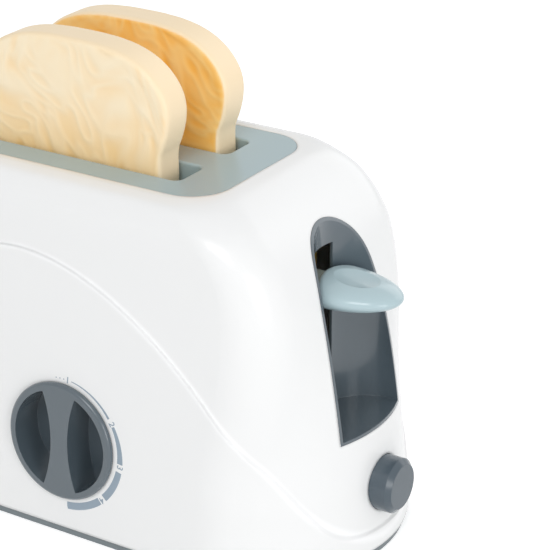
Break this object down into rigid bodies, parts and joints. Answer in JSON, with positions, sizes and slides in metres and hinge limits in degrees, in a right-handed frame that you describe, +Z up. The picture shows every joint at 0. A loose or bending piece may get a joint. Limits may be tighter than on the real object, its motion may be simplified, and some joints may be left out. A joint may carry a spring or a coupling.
{
  "type": "toy toaster",
  "caption": "Toy pop-up toaster with play bread slices in its roof slots, a sprung lever, a cancel button and a turning dial.",
  "frame": {"origin": "centre of the underside of the base plate, on the table", "axes": "+X along the body towards the lever end, -Y the dial side, +Z up"},
  "size_m": [0.2331, 0.1043, 0.1652],
  "materials": {
    "housing_white": "smooth moulded, soft gloss",
    "panel_blue_grey": "fine satin",
    "base_grey": "satin",
    "slate": "smooth, soft gloss",
    "steel": "bright",
    "spring_steel": "bright",
    "carriage_ochre": "satin",
    "arm_grey_green": "satin",
    "lever_blue_grey": "satin",
    "toast_pale": "soft satin",
    "toast_golden": "soft satin",
    "inner_plastic": "plain moulded"
  },
  "bodies": {
    "housing": {"body_shell": "housing_white", "top_panel": "panel_blue_grey", "base_plate": "base_grey", "lever_cup": "slate", "base_screws": "steel", "panel_screws": "steel", "guide_rod_front": "steel", "guide_rod_rear": "steel", "lift_spring_front": "spring_steel", "lift_spring_rear": "spring_steel", "latch_pin": "steel", "latch_spring": "spring_steel", "dial_bracket": "inner_plastic", "bracket_screws": "steel", "click_spring": "spring_steel"},
    "carriage": {"carriage_slider": "carriage_ochre", "toast_rack": "carriage_ochre", "rack_screws": "steel", "lever_arm": "arm_grey_green", "lever_knob": "lever_blue_grey"},
    "toast_front": {"toast_slice_front": "toast_pale"},
    "toast_rear": {"toast_slice_rear": "toast_golden"},
    "button": {"cancel_button": "slate", "button_clip": "inner_plastic"},
    "latch": {"latch_hook": "inner_plastic"},
    "dial": {"dial_knob": "slate", "dial_shaft": "inner_plastic", "click_wheel": "inner_plastic", "shaft_clip": "steel"}
  },
  "joints": [
    {"name": "carriage_slide", "type": "slide", "parent": "housing", "child": "carriage", "axis": [0, 0, 1], "range_m": [-0.025, 0], "stiffness_N_per_m": 60, "springref_m": 0.06, "deforming": ["lift_spring_front", "lift_spring_rear"]},
    {"name": "toast_front_lift", "type": "slide", "parent": "carriage", "child": "toast_front", "axis": [0, 0, 1], "range_m": [0, 0.06]},
    {"name": "toast_rear_lift", "type": "slide", "parent": "carriage", "child": "toast_rear", "axis": [0, 0, 1], "range_m": [0, 0.06]},
    {"name": "button_press", "type": "slide", "parent": "housing", "child": "button", "axis": [1, 0, 0], "range_m": [-0.003, 0], "stiffness_N_per_m": 700, "springref_m": 0.001},
    {"name": "latch_swing", "type": "hinge", "parent": "housing", "child": "latch", "pos_m": [0.073, 0, 0.011], "axis": [0, 1, 0], "range_deg": [-13.5, 0], "deforming": ["latch_spring"]},
    {"name": "dial_turn", "type": "hinge", "parent": "housing", "child": "dial", "pos_m": [0.0168, -0.04987, 0.0355], "axis": [0, -0.9989, 0.0469], "range_deg": [-170, 0]}
  ],
  "couplings": [
    {"joint": "latch_swing", "follows": "button_press", "rad_per_m": 78.5}
  ]
}
